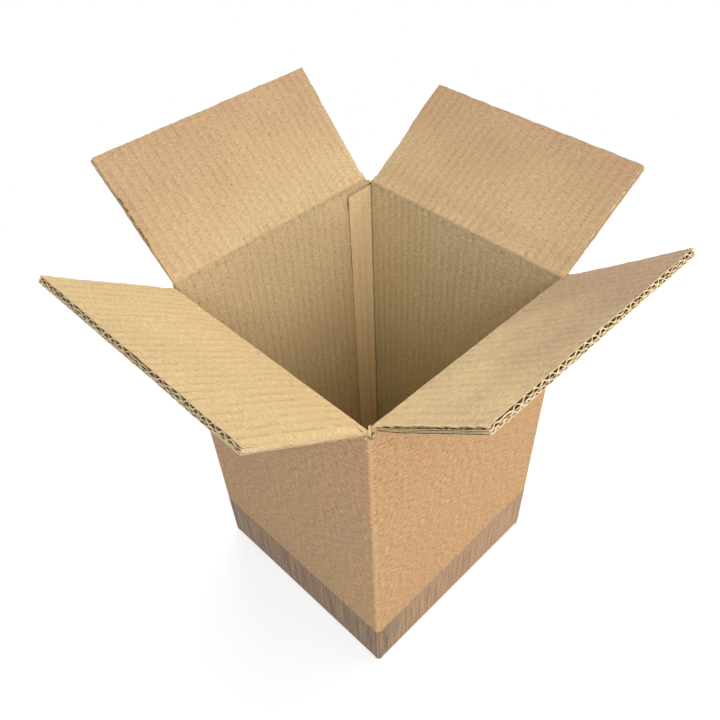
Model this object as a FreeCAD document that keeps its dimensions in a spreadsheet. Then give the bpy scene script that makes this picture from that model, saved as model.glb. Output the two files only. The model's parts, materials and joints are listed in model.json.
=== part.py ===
import FreeCAD, Part
import Sketcher
import os

# Double-wall corrugated shipping box, slotted style: four walls and eight flaps from one folded blank.
# The bottom flaps are folded shut and taped. The four top flaps stand open, each on its own score line.
# Frame: +Z up, origin at the centre of the base on the floor, front wall towards -Y. Millimetres.

document = FreeCAD.newDocument("shipping_box")
sheet = document.addObject("Spreadsheet::Sheet", "Sizes")

# Driving dimensions
SIZES = {
    # walls, measured outside
    "box_width": 220.0,
    "box_depth": 220.0,
    "board": 4.0,
    "bend_radius": 0.5,
    # height of the score line over the front and back walls
    "inner_score": 332.2,
    # play between an outer flap and the inner flap it covers when closed
    "nest_gap": 0.2,
    # flaps, from score line to free edge, and the slots that part them
    "flap_reach": 108.0,
    "slot_half": 5.0,
    "slot_cut": 1.0,
    "mitre_gap": 0.2,
    # how far each top flap leans out past upright, in degrees
    "front_lean": 55.5,
    "back_lean": 59.5,
    "left_lean": 46.0,
    "right_lean": 52.0,
    # plies of the board: a big flute inside, a small one outside, three flat liners
    "liner": 0.3,
    "small_rise": 1.2,
    "small_pitch": 6.6,
    "big_pitch": 8.1,
    "flute_web": 0.55,
    "flute_crest": 0.7,
    "side_margin": 1.5,
    "crushed_length": 8.0,
    # bottom flaps and the folds at the foot
    "seam_gap": 2.0,
    "foot_round": 3.0,
    # glued joint: how round the back wall bends, and its tab, lapped inside the left wall
    "joint_round": 3.0,
    "tab_width": 29.0,
    "tab_slant": 3.0,
    "tab_clear": 0.5,
    # tape round the foot and along the bottom seam
    "tape_film": 0.2,
    "tape_clear": 0.1,
    "band_low": 3.0,
    "band_high": 58.0,
    "seam_tape_width": 50.0,
}
for row, (alias, value) in enumerate(SIZES.items(), start=1):
    sheet.set(f"A{row}", alias)
    sheet.set(f"B{row}", str(value))
    sheet.setAlias(f"B{row}", alias)
document.recompute()

# Lengths worked out from the driving dimensions
HALF_X = "Sizes.box_width / 2"
HALF_Y = "Sizes.box_depth / 2"
INSIDE_X = "(Sizes.box_width / 2 - Sizes.board)"
INSIDE_Y = "(Sizes.box_depth / 2 - Sizes.board)"
FLAP_X = "(Sizes.box_width / 2 - Sizes.slot_half)"
FLAP_Y = "(Sizes.box_depth / 2 - Sizes.slot_half)"
OUTER_SCORE = "(Sizes.inner_score + Sizes.board + Sizes.nest_gap)"
SLOT_FLOOR = "(Sizes.inner_score - Sizes.slot_cut)"
BASE = "Sizes.tape_film"
LAYER = "(Sizes.tape_film + Sizes.board)"
FLOOR = "(Sizes.tape_film + 2 * Sizes.board)"
FOLD_RADIUS = "Sizes.bend_radius + Sizes.board"

# How far the middle of a round bend lies inside its square corner, as a share of the bend's reach
BEND_CROWN = 0.29


def number(expression):
    """Value that an expression over the sheet has now."""
    return float(sheet_reader.evalExpression(expression))


def new_body(label):
    """Empty body that carries the sub-part's name."""
    body = document.addObject("PartDesign::Body", label)
    body.Label = label
    return body


def new_sketch(body, name, role, lift="0"):
    """Sketch on one of the body's own origin planes, lifted along the plane's normal."""
    sketch = body.newObject("Sketcher::SketchObject", name)
    plane = next(item for item in body.Origin.OriginFeatures if item.Role == role)
    sketch.AttachmentSupport = [(plane, "")]
    sketch.MapMode = "FlatFace"
    sketch.setExpression("AttachmentOffset.Base.z", lift)
    return sketch


def draw(sketch, corners):
    """Closed polygon through corners given as pairs of expressions, each bound to the sheet."""
    first = sketch.GeometryCount
    places = [[number(text) for text in corner] for corner in corners]
    points = [FreeCAD.Vector(x, y, 0) for x, y in places]
    count = len(points)
    for index in range(count):
        sketch.addGeometry(Part.LineSegment(points[index], points[(index + 1) % count]), False)
    for index in range(count):
        line, following = first + index, first + (index + 1) % count
        sketch.addConstraint(Sketcher.Constraint("Coincident", line, 2, following, 1))
        for kind, text, place in zip(("DistanceX", "DistanceY"), corners[index], places[index]):
            held = sketch.addConstraint(Sketcher.Constraint(kind, -1, 1, line, 1, place))
            sketch.setExpression(f"Constraints[{held}]", text)


def box_corners(low_x, low_y, high_x, high_y):
    """Four corners of a rectangle, anticlockwise."""
    return [(low_x, low_y), (high_x, low_y), (high_x, high_y), (low_x, high_y)]


def extrude(body, kind, name, sketch, length, side="One side"):
    """Pad or pocket of a sketch, with its length bound to the sheet."""
    document.recompute()
    feature = body.newObject(f"PartDesign::{kind}", name)
    feature.Profile = sketch
    feature.SideType = side
    feature.setExpression("Length", length)
    before = sketch.getParentGeoFeatureGroup().Shape.Volume if kind == "Pocket" else None
    document.recompute()
    if before is not None and feature.Shape.Volume > before - 1e-6:
        raise RuntimeError(f"{name} cuts nothing")
    return feature


def round_edges(body, name, radius, chosen):
    """Fillet on the edges of the body's tip that the test picks by their middle and their direction."""
    base = body.Tip
    names = []
    for index, edge in enumerate(base.Shape.Edges, start=1):
        if edge.Curve.TypeId != "Part::GeomLine":
            continue
        middle = edge.valueAt((edge.FirstParameter + edge.LastParameter) / 2)
        if chosen(middle, edge.tangentAt(edge.FirstParameter)):
            names.append(f"Edge{index}")
    fillet = body.newObject("PartDesign::Fillet", name)
    fillet.Base = (base, names)
    fillet.setExpression("Radius", radius)
    document.recompute()
    return fillet


def near(value, expression):
    """True where a coordinate lies on the named size, on either side of the centre."""
    return abs(abs(value) - number(expression)) < 1e-4


def is_at_joint(middle):
    """True at the back left corner, where the left wall's cut end stays square."""
    return middle.x < 0 and middle.y > 0


sheet_reader = document.addObject("App::FeaturePython", "SheetReader")


# Carton: walls, glue tab and closed bottom, one folded sheet
def make_carton():
    body = new_body("carton")

    walls = new_sketch(body, "WallPlan", "XY_Plane", BASE)
    draw(walls, box_corners(f"-{HALF_X}", f"-{HALF_Y}", HALF_X, HALF_Y))
    draw(walls, box_corners(f"-{INSIDE_X}", f"-{INSIDE_Y}", INSIDE_X, INSIDE_Y))
    extrude(body, "Pad", "Walls", walls, f"{OUTER_SCORE} - {BASE}")

    # three corners are folds, the fourth is the glued joint with its own shape
    def is_outer_fold(middle, direction):
        outside = near(middle.x, HALF_X) and near(middle.y, HALF_Y)
        return outside and abs(direction.z) > 0.9 and not is_at_joint(middle)

    def is_inner_fold(middle, direction):
        return abs(direction.z) > 0.9 and near(middle.x, INSIDE_X) and near(middle.y, INSIDE_Y)

    round_edges(body, "CornerFolds", FOLD_RADIUS, is_outer_fold)
    round_edges(body, "InnerFolds", "Sizes.bend_radius", is_inner_fold)

    # the outer pair of bottom flaps comes from the side walls and lies on the floor
    for side, sign in (("Left", "-"), ("Right", "")):
        plan = new_sketch(body, f"Bottom{side}Plan", "XY_Plane", BASE)
        inner_edge = f"{sign}Sizes.seam_gap / 2"
        draw(plan, box_corners(inner_edge, f"-{FLAP_Y}", f"{sign}{INSIDE_X}", FLAP_Y))
        extrude(body, "Pad", f"Bottom{side}Flap", plan, "Sizes.board")

    # the front and back walls stop one board higher, where they fold into the inner pair
    for side, sign in (("Front", "-"), ("Back", "")):
        plan = new_sketch(body, f"Foot{side}Plan", "XY_Plane", LAYER)
        draw(plan, box_corners(f"-{FLAP_X}", f"{sign}{FLAP_Y}", FLAP_X, f"{sign}({HALF_Y} + Sizes.board)"))
        extrude(body, "Pocket", f"Foot{side}Cut", plan, "Sizes.board")
        plan = new_sketch(body, f"Bottom{side}Plan", "XY_Plane", LAYER)
        draw(plan, box_corners(f"-{FLAP_X}", f"{sign}Sizes.seam_gap / 2", FLAP_X, f"{sign}{INSIDE_Y}"))
        extrude(body, "Pad", f"Bottom{side}Flap", plan, "Sizes.board")

    # slots part the flaps at each corner and run a little past the score
    foot_slots = new_sketch(body, "FootSlotPlan", "XY_Plane", f"{BASE} + Sizes.slot_cut")
    draw_corner_squares(foot_slots)
    extrude(body, "Pocket", "FootSlots", foot_slots, "Sizes.slot_cut")

    # each wall bends into its bottom flap round a fold
    low_folds = new_sketch(body, "LowFoldPlan", "XZ_Plane")
    raised_folds = new_sketch(body, "RaisedFoldPlan", "YZ_Plane")
    for sign in ("-", ""):
        draw(low_folds, outside_bend(sign, HALF_X, BASE, "Sizes.foot_round"))
        draw(raised_folds, outside_bend(sign, HALF_Y, LAYER, "Sizes.foot_round"))
    extrude(body, "Pocket", "LowFolds", low_folds, f"2 * {FLAP_Y}", "Symmetric")
    extrude(body, "Pocket", "RaisedFolds", raised_folds, f"2 * {FLAP_X}", "Symmetric")

    # front and back walls end at the inner score, one board below the side walls
    rim = new_sketch(body, "RimPlan", "XY_Plane", OUTER_SCORE)
    draw(rim, box_corners(f"-{FLAP_X}", f"-{HALF_Y}", FLAP_X, f"-{INSIDE_Y}"))
    draw(rim, box_corners(f"-{FLAP_X}", INSIDE_Y, FLAP_X, HALF_Y))
    extrude(body, "Pocket", "RimCut", rim, f"{OUTER_SCORE} - Sizes.inner_score")
    slots = new_sketch(body, "SlotPlan", "XY_Plane", OUTER_SCORE)
    draw_corner_squares(slots)
    extrude(body, "Pocket", "Slots", slots, f"{OUTER_SCORE} - {SLOT_FLOOR}")

    # the rim is crushed to a mitre under each score, which the closed flap's root lies against
    sides = new_sketch(body, "SideMitre", "XZ_Plane")
    for sign in ("-", ""):
        draw(sides, mitre(sign, HALF_X, INSIDE_X, OUTER_SCORE))
    extrude(body, "Pocket", "SideMitres", sides, f"2 * {FLAP_Y}", "Symmetric")
    ends = new_sketch(body, "EndMitre", "YZ_Plane")
    for sign in ("-", ""):
        draw(ends, mitre(sign, HALF_Y, INSIDE_Y, "Sizes.inner_score"))
    extrude(body, "Pocket", "EndMitres", ends, f"2 * {FLAP_X}", "Symmetric")

    make_joint(body)
    return body


def draw_corner_squares(sketch):
    """One square in each corner of the plan, where two slots meet."""
    for sign_x in ("-", ""):
        for sign_y in ("-", ""):
            near_corner = (f"{sign_x}{FLAP_X}", f"{sign_y}{FLAP_Y}")
            far_corner = (f"{sign_x}{HALF_X}", f"{sign_y}{HALF_Y}")
            draw(sketch, box_corners(*near_corner, *far_corner))


def outside_bend(sign, outside, low, reach):
    """What a folded corner lacks outside its bend, which is drawn in two facets."""
    return [
        (f"{sign}{outside}", low),
        (f"{sign}({outside} - {reach})", low),
        (f"{sign}({outside} - {BEND_CROWN} * {reach})", f"{low} + {BEND_CROWN} * {reach}"),
        (f"{sign}{outside}", f"{low} + {reach}"),
    ]


def mitre(sign, outside, inside, score):
    """Triangle between the score line on the outer face and one board lower on the inner face."""
    low = f"{score} - Sizes.board"
    return [(f"{sign}{outside}", score), (f"{sign}{inside}", low), (f"{sign}{inside}", score)]


def make_joint(body):
    """Glued joint at the back left corner: the back wall bends inside the left wall's cut end."""
    groove = new_sketch(body, "JointPlan", "XY_Plane", OUTER_SCORE)
    leg = "Sizes.joint_round"
    outline = [
        (f"-{INSIDE_X}", HALF_Y),
        (f"-{INSIDE_X}", f"{HALF_Y} - {leg}"),
        (f"-{INSIDE_X} + {BEND_CROWN} * {leg}", f"{HALF_Y} - {BEND_CROWN} * {leg}"),
        (f"-{INSIDE_X} + {leg}", HALF_Y),
    ]
    draw(groove, outline)
    extrude(body, "Pocket", "JointGroove", groove, f"{OUTER_SCORE} - {LAYER}")

    # the tab starts half a board inside the wall it is glued to, so that the two are one sheet
    bite = "Sizes.board / 2"
    tab = new_sketch(body, "TabOutline", "YZ_Plane", f"-({INSIDE_X} + {bite})")
    free_edge = f"({INSIDE_Y} - Sizes.tab_width)"
    foot = f"({FLOOR} + Sizes.tab_clear)"
    top = "(Sizes.inner_score - Sizes.board - Sizes.tab_clear)"
    tab_corners = [
        (free_edge, f"{foot} + Sizes.tab_slant"),
        (INSIDE_Y, foot),
        (INSIDE_Y, top),
        (free_edge, f"{top} - Sizes.tab_slant"),
    ]
    draw(tab, tab_corners)
    extrude(body, "Pad", "GlueTab", tab, f"Sizes.board + {bite}")


# Top flaps: flat sheets with open flutes along the free edge, hinged on the wall's outer face
def make_flap(side, width, place_x, place_y, score, yaw, lean):
    body = new_body(f"flap_{side}")

    # section across the hinge: outer face on the hinge plane, root cut back as the rim's mirror image
    section = new_sketch(body, "Section", "YZ_Plane")
    corners = [
        ("0", "Sizes.mitre_gap"),
        ("Sizes.board", "Sizes.board + Sizes.mitre_gap"),
        ("Sizes.board", "Sizes.flap_reach"),
        ("0", "Sizes.flap_reach"),
    ]
    draw(section, corners)
    extrude(body, "Pad", "Sheet", section, width, "Symmetric")

    small_floor = "Sizes.liner"
    small_roof = "(Sizes.liner + Sizes.small_rise)"
    big_floor = f"({small_roof} + Sizes.liner)"
    big_roof = "(Sizes.board - Sizes.liner)"
    cut_flutes(body, "Small", width, "Sizes.small_pitch", small_floor, small_roof)
    cut_flutes(body, "Big", width, "Sizes.big_pitch", big_floor, big_roof)

    place = f"vector({place_x}; {place_y}; {score})"
    body.setExpression("Placement", f"placement({place}; rotation({yaw}; 0; {lean}))")
    return body


def cut_flutes(body, layer, width, pitch, floor, roof):
    """Row of open flutes in one ply: a void on each side of the zigzag, repeated at its pitch."""
    crest = "Sizes.flute_crest"
    wide = f"({pitch} / 2 - {crest} - Sizes.flute_web)"
    room = f"({width} - 2 * Sizes.side_margin - {pitch} / 2 - 2 * {wide})"
    spaces = f"floor({room} / {pitch})"
    first = f"(-({spaces} * {pitch} + {pitch} / 2) / 2)"
    second = f"({first} + {pitch} / 2)"

    plan = new_sketch(body, f"{layer}FlutePlan", "XY_Plane", "Sizes.flap_reach")
    for centre, low, high in ((first, wide, crest), (second, crest, wide)):
        void = [
            (f"{centre} - {low}", floor),
            (f"{centre} + {low}", floor),
            (f"{centre} + {high}", roof),
            (f"{centre} - {high}", roof),
        ]
        draw(plan, void)
    depth = "Sizes.flap_reach - Sizes.board - Sizes.crushed_length"
    flute = extrude(body, "Pocket", f"{layer}Flute", plan, depth)

    row = body.newObject("PartDesign::LinearPattern", f"{layer}Flutes")
    row.Originals = [flute]
    row.Direction = (next(item for item in body.Origin.OriginFeatures if item.Role == "X_Axis"), [""])
    row.setExpression("Occurrences", f"{spaces} + 1")
    row.setExpression("Length", f"{spaces} * {pitch}")
    body.Tip = row
    document.recompute()


# Tapes: a band round the foot of the walls and a strip under the bottom seam
def make_band():
    body = new_body("band_tape")
    plan = new_sketch(body, "BandPlan", "XY_Plane", "Sizes.band_low")
    skin_x = f"({HALF_X} + Sizes.tape_clear)"
    skin_y = f"({HALF_Y} + Sizes.tape_clear)"
    over_x = f"({skin_x} + Sizes.tape_film)"
    over_y = f"({skin_y} + Sizes.tape_film)"
    draw(plan, box_corners(f"-{over_x}", f"-{over_y}", over_x, over_y))
    draw(plan, box_corners(f"-{skin_x}", f"-{skin_y}", skin_x, skin_y))
    extrude(body, "Pad", "Band", plan, "Sizes.band_high - Sizes.band_low")

    # the film follows the three folded corners and turns sharply over the fourth
    def is_inner(middle, direction):
        inside = near(middle.x, skin_x) and near(middle.y, skin_y)
        return inside and abs(direction.z) > 0.9 and not is_at_joint(middle)

    def is_outer(middle, direction):
        outside = near(middle.x, over_x) and near(middle.y, over_y)
        return outside and abs(direction.z) > 0.9 and not is_at_joint(middle)

    round_edges(body, "InnerCorners", FOLD_RADIUS, is_inner)
    round_edges(body, "OuterCorners", f"{FOLD_RADIUS} + Sizes.tape_film", is_outer)
    return body


def make_seam_tape():
    body = new_body("seam_tape")
    plan = new_sketch(body, "StripPlan", "XY_Plane")
    half = "Sizes.seam_tape_width / 2"
    draw(plan, box_corners(f"-{half}", f"-{FLAP_Y}", half, FLAP_Y))
    extrude(body, "Pad", "Strip", plan, "Sizes.tape_film")
    return body


parts = [
    make_carton(),
    make_flap("front", f"2 * {FLAP_X}", "0", f"-{HALF_Y}", "Sizes.inner_score", "0", "Sizes.front_lean"),
    make_flap("back", f"2 * {FLAP_X}", "0", HALF_Y, "Sizes.inner_score", "180", "Sizes.back_lean"),
    make_flap("left", f"2 * {FLAP_Y}", f"-{HALF_X}", "0", OUTER_SCORE, "-90", "Sizes.left_lean"),
    make_flap("right", f"2 * {FLAP_Y}", HALF_X, "0", OUTER_SCORE, "90", "Sizes.right_lean"),
    make_band(),
    make_seam_tape(),
]
document.recompute()

# Every object has to be sound before anything is written
for item in document.Objects:
    if {"Invalid", "Error"} & set(item.State):
        raise RuntimeError(f"{item.Name} failed: {item.State}")
for part in parts:
    if part.Shape.isNull() or not part.Shape.isValid() or len(part.Shape.Solids) != 1:
        raise RuntimeError(f"{part.Label} isn't one valid solid")

os.makedirs("parts", exist_ok=True)
for part in parts:
    part.Shape.exportStep(f"parts/{part.Label}.step")
    size = part.Shape.BoundBox
    print(f"{part.Label}: {size.XLength:.1f} x {size.YLength:.1f} x {size.ZLength:.1f} mm")
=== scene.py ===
import json
import bpy
import numpy as np
from mathutils import Matrix, Vector


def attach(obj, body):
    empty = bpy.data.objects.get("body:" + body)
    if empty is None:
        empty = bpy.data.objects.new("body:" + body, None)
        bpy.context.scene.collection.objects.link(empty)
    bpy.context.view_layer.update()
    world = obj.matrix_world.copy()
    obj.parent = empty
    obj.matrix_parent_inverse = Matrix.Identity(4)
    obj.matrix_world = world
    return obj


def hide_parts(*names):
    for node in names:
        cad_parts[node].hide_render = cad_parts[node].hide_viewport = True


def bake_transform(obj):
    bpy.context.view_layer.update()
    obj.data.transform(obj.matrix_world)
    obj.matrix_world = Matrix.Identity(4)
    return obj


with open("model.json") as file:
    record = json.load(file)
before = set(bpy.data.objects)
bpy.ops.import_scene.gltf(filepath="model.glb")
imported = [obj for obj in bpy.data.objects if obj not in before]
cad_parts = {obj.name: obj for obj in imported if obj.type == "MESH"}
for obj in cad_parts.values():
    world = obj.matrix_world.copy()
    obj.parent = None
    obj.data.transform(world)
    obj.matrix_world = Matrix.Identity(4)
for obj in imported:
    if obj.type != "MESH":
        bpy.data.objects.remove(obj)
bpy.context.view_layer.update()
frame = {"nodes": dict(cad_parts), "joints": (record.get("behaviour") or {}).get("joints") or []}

# Outside of the walls. One sheet of unbleached kraft liner runs round all four walls of the folded
# blank, from the glued joint at the back left corner to the cut end of the left wall. It is the face
# of double-wall corrugated board, so its small flutes show through faintly as upright ribs.
BOARD = 4.0
HALF = 110.0
INSIDE = HALF - BOARD
SLOT = 105.0
SCORE_LOW, SCORE_HIGH = 332.2, 336.4
SLOT_FLOOR = 331.2
SKIN = 0.1
FOLD_RADIUS, JOINT_RADIUS, FOOT_RADIUS = 3.5, 3.0, 3.0
FOLD_HALF = 109.25  # from a wall's middle to the middle of its rounded fold, along the liner
FOOT_LOW, FOOT_RAISED, FOOT_CORNER = 0.2, 4.2, 1.2
SMALL_PITCH = 6.6
RIDGE_AT, RIDGE_WIDTH, RIDGE_LOW, RIDGE_HIGH = 8.8, 1.3, 60.0, 238.0
TAPED = 62.0  # the walls are held flat up to here, under the tape


def linear(shade):
    """Colour of an sRGB hex value in linear light, by the sRGB curve."""
    part = np.array([int(shade[i : i + 2], 16) for i in (1, 3, 5)]) / 255
    part = np.where(part <= 0.04045, part / 12.92, ((part + 0.055) / 1.055) ** 2.4)
    return (*part.tolist(), 1.0)


def add_node(tree, kind, *plugs, **settings):
    """Node of a material. The plugs go into its inputs in their order, and a setting into the input of
    that name or else onto the node itself. A node or socket is linked, and None is left alone."""
    made = tree.nodes.new("ShaderNode" + kind)
    for name in [name for name in settings if hasattr(made, name)]:
        setattr(made, name, settings.pop(name))
    for place, value in [*enumerate(plugs), *settings.items()]:
        if isinstance(value, bpy.types.Node):
            value = value.outputs[0]
        if isinstance(value, bpy.types.NodeSocket):
            tree.links.new(value, made.inputs[place])
        elif value is not None:
            made.inputs[place].default_value = value
    return made


def emptied(block):
    """Node tree of a new material or world, with the nodes that it starts with taken out."""
    block.use_nodes = True
    block.node_tree.nodes.clear()
    return block.node_tree


# a Mix node's first input is its factor, and its two colours come after five more
TO_COLOURS = (None,) * 5


def kraft(
    name,
    face,
    warm,
    pitch,
    rib,
    dash,
    line,
    stroke,
    streak,
    dimple=0.16,
    fold=0.0,
    half=INSIDE,
    painted_light_ramp=(0, 1, 332, 500),
):
    """Unbleached kraft liner, pressed on the flutes while wet: matt, fibrous brown paper with faint ribs
    and broken lines over the flute tips. Lengths are in mm: rib is how far the ribs stand up, line the
    half width of a broken line and stroke its length, and dimple how deep the paper is mottled. dash is
    how much darker the lines are, or lighter below 0, and streak how much the tone varies from fibre to
    fibre. fold is how much painted shade darkens the folds and the strip just under the top scores,
    which are then also grooved, or how much painted highlight lightens them below 0. The folds lie half
    from the middle of their wall. The paper turns from face to warm in random patches. It also turns,
    as painted light and shade, in the direction of the first two numbers of the last argument, from the
    third of them to the fourth."""
    material = bpy.data.materials.new(name)
    tree = emptied(material)
    sheet = add_node(tree, "UVMap", uv_map="sheet")
    flat = add_node(tree, "VectorMath", sheet, operation="SCALE", Scale=1000.0)
    place = add_node(tree, "SeparateXYZ", flat)

    # each grain is noise whose spots are about so many mm across and along the flutes
    grain = {}
    for use, across, along, detail in (
        ("wander", 30.0, 22.0, 1.0),
        ("cloud", 70.0, 55.0, 2.0),
        ("mottle", 3.6, 2.5, 3.0),
        ("fibre", 5.2, 1.05, 2.0),
        ("grit", 1.15, 1.0, 2.0),
    ):
        spots = (1 / across, 1 / along, 1.0)
        spot = add_node(tree, "Mapping", flat, Location=(along, across, 0.0), Scale=spots)
        grain[use] = add_node(
            tree, "TexNoise", spot, noise_dimensions="2D", Scale=1.0, Detail=detail, Roughness=0.6
        )

    # broken lines over the flute tips, whose rows wander by some tenths of a millimetre
    drift = add_node(tree, "MapRange", grain["wander"], 0.0, 1.0, -0.9 / pitch, 0.9 / pitch)
    phase = add_node(tree, "Math", place.outputs[0], 1 / pitch, drift, operation="MULTIPLY_ADD")
    off = add_node(tree, "Math", phase, 0.5, operation="PINGPONG")
    core, brim = 0.3 * line / pitch, 1.4 * line / pitch
    near = add_node(tree, "MapRange", off, core, brim, 1.0, 0.0, interpolation_type="SMOOTHSTEP")
    tip = add_node(tree, "Math", phase, operation="ROUND")
    row = add_node(tree, "CombineXYZ", tip, place.outputs[1])
    spot = add_node(tree, "Mapping", row, Scale=(17.3, 1 / stroke, 1.0))
    pieces = add_node(tree, "TexNoise", spot, noise_dimensions="2D", Scale=1.0, Detail=3.0, Roughness=0.7)
    broken = add_node(tree, "MapRange", pieces, 0.46, 0.58, 0.12, 1.0, interpolation_type="SMOOTHSTEP")
    mark = add_node(tree, "Math", near, broken, operation="MULTIPLY")

    # ribs between the lines, stronger in some places than in others
    wave = add_node(tree, "MapRange", off, 0.0, 0.5, 1.0, -1.0, interpolation_type="SMOOTHSTEP")
    uneven = add_node(tree, "MapRange", grain["cloud"], 0.3, 0.7, 0.35, 1.0)
    ribs = add_node(tree, "Math", wave, uneven, operation="MULTIPLY")

    # painted shade: the liner is darkened in the folds at the corners, and faintly just under the top
    # scores, where shade falls. Where fold is above 0 these places are also grooved by the bump. Where fold
    # is below 0 they are lightened instead, painted highlight
    aside = add_node(tree, "VectorMath", flat, (half, SCORE_LOW - 1.5, 0.0), operation="SUBTRACT")
    apart = add_node(tree, "SeparateXYZ", aside)
    corner = add_node(tree, "Math", apart.outputs[0], half, operation="PINGPONG")
    corner = add_node(tree, "MapRange", corner, 0.9, 2.6, 1.0, 0.0)
    score = add_node(tree, "Math", apart.outputs[1], 500.0, operation="PINGPONG")
    score = add_node(tree, "MapRange", score, 0.3, 2.6, 0.14, 0.0)
    fold_groove_and_painted_light = add_node(tree, "Math", corner, score, operation="MAXIMUM")

    # the tone is about 1 on the whole, with each of these added by its own weight
    paper = add_node(tree, "CombineXYZ", grain["mottle"], grain["fibre"], grain["grit"])
    marks_and_painted_fold_light = add_node(tree, "CombineXYZ", ribs, mark, fold_groove_and_painted_light)
    weights = (0.08 + 0.6 * dimple, streak, 0.55)
    fuzz = add_node(tree, "VectorMath", paper, weights, operation="DOT_PRODUCT")
    lines = add_node(tree, "VectorMath", marks_and_painted_fold_light, (-0.16 * rib, -dash, -fold), operation="DOT_PRODUCT")
    tone = add_node(tree, "Math", fuzz.outputs["Value"], 1 - sum(weights) / 2, operation="ADD")
    tone = add_node(tree, "Math", tone, lines.outputs["Value"], operation="ADD")
    patch = add_node(tree, "MapRange", grain["cloud"], 0.3, 0.7, 0.0, 0.35)
    # painted light and shade: the colour also turns towards warm along the direction of the last argument,
    # following how the light falls on the piece
    along = add_node(tree, "VectorMath", flat, (painted_light_ramp[0], painted_light_ramp[1], 0.0), operation="DOT_PRODUCT")
    along = add_node(tree, "MapRange", along.outputs["Value"], painted_light_ramp[2], painted_light_ramp[3], 0.0, 0.85)
    patch = add_node(tree, "Math", patch, along, operation="ADD", use_clamp=True)
    hue = add_node(tree, "Mix", patch, *TO_COLOURS, linear(face), linear(warm), data_type="RGBA")
    shade = add_node(tree, "VectorMath", hue.outputs[2], operation="SCALE", Scale=tone)

    # pale bits of filler and a few dark shives in the pulp
    colour = shade.outputs[0]
    for cell, size, share, paint in ((11.0, 0.6, 0.7, "#f6ead0"), (15.0, 0.55, 0.66, "#7d6340")):
        dots = add_node(tree, "TexVoronoi", flat, voronoi_dimensions="2D", Scale=1 / cell)
        chosen = add_node(tree, "SeparateColor", dots.outputs["Color"])
        some = add_node(tree, "Math", chosen, share, operation="GREATER_THAN")
        faint = add_node(tree, "Math", some, chosen.outputs[1], operation="MULTIPLY")
        spot = add_node(tree, "MapRange", dots, 0.35 * size / cell, size / cell, 1.0, 0.0)
        here = add_node(tree, "Math", faint, spot, operation="MULTIPLY")
        blend = add_node(tree, "Mix", here, *TO_COLOURS, colour, linear(paint), data_type="RGBA")
        colour = blend.outputs[2]

    # heights in millimetres, so the bump's distance is one thousandth of a metre
    fuzz = add_node(tree, "VectorMath", paper, (dimple, 0.07, 0.07), operation="DOT_PRODUCT")
    heights = (rib, -0.12, -0.3 * max(fold, 0))
    lines = add_node(tree, "VectorMath", marks_and_painted_fold_light, heights, operation="DOT_PRODUCT")
    height = add_node(tree, "Math", fuzz.outputs["Value"], lines.outputs["Value"], operation="ADD")
    bump = add_node(tree, "Bump", Strength=1.0, Distance=0.001, Height=height)
    shader = add_node(
        tree,
        "BsdfPrincipled",
        colour,
        **{"Roughness": 0.88, "IOR": 1.47, "Specular IOR Level": 0.22, "Normal": bump},
    )
    add_node(tree, "OutputMaterial", shader)
    return material


def rolling(across, along, size, seed):
    """Smooth uneven field of about -1 to 1: a quarter of the sum of twelve cosine waves of length near
    size, each with its own direction and start."""
    draw = np.random.default_rng(seed)
    angle = draw.uniform(0, np.pi, 12)
    pace = 2 * np.pi / (size * draw.uniform(0.6, 1.7, 12))
    start = draw.uniform(0, 2 * np.pi, 12)
    across, along = np.broadcast_arrays(across, along)
    way = across[..., None] * (pace * np.cos(angle)) + along[..., None] * (pace * np.sin(angle))
    return np.cos(way + start).sum(-1) / 4


def bent_line(corners, radii, spacing, slot=None):
    """Points along a line in plan with rounded right-angled corners: straight runs, and between them
    quarter circles of the given radii. A run has two columns at one place where a slot ends, slot mm
    from the middle of its wall. Gives a dictionary of x, y, the normal to the right, the length from the
    middle of the wall at the front, the run's number (-1 on an arc), whether the point lies between the
    slots, and for each gap between two points whether it is solid, or else has no length."""
    corners = np.array(corners, float)
    runs = np.diff(corners, axis=0)
    lengths = np.hypot(runs[:, 0], runs[:, 1])
    heads = runs / lengths[:, None]
    sides = np.stack([heads[:, 1], -heads[:, 0]], 1)
    trims = [0.0, *radii, 0.0]
    out = {"point": [], "normal": [], "run": [], "between": []}

    def put(points, normals, run, between):
        out["point"].append(points)
        out["normal"].append(normals)
        out["run"].append(np.full(len(points), run))
        out["between"].append(np.full(len(points), between))

    for i, (start, head, side) in enumerate(zip(corners, heads, sides)):
        low, high = trims[i], lengths[i] - trims[i + 1]
        middle = -start @ head
        marks = [low, high]
        if slot is not None:
            marks = sorted([low, high, *[m for m in (middle - slot, middle + slot) if low < m < high]])
        for a, b in zip(marks[:-1], marks[1:]):
            steps = np.linspace(a, b, max(2, int(np.ceil((b - a) / spacing)) + 1))
            between = slot is not None and abs((a + b) / 2 - middle) < slot
            put(start + steps[:, None] * head, np.tile(side, (len(steps), 1)), i, between)
        if i + 1 < len(heads):
            radius = trims[i + 1]
            turn = np.linspace(0, np.pi / 2, 9)[1:-1, None]
            centre = corners[i + 1] - radius * head + radius * heads[i + 1]
            arc = centre + radius * (head * np.sin(turn) - heads[i + 1] * np.cos(turn))
            put(arc, np.cos(turn) * side + np.sin(turn) * sides[i + 1], -1, False)
    line = {key: np.concatenate(value) for key, value in out.items()}
    line["x"], line["y"] = line.pop("point").T
    gaps = np.hypot(np.diff(line["x"]), np.diff(line["y"]))
    length = np.concatenate([[0.0], np.cumsum(gaps)])
    line["length"] = length - length[np.argmin(np.hypot(line["x"], line["y"] + np.abs(line["y"]).max()))]
    line["solid"] = gaps > 1e-6
    return line


def along_line(line, off, height):
    """Points that stand off a line in plan: its own points plus off times its normals, at a height."""
    right, ahead = line["normal"].T
    return np.stack([line["x"] + right * off, line["y"] + ahead * off, height], -1)


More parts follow.
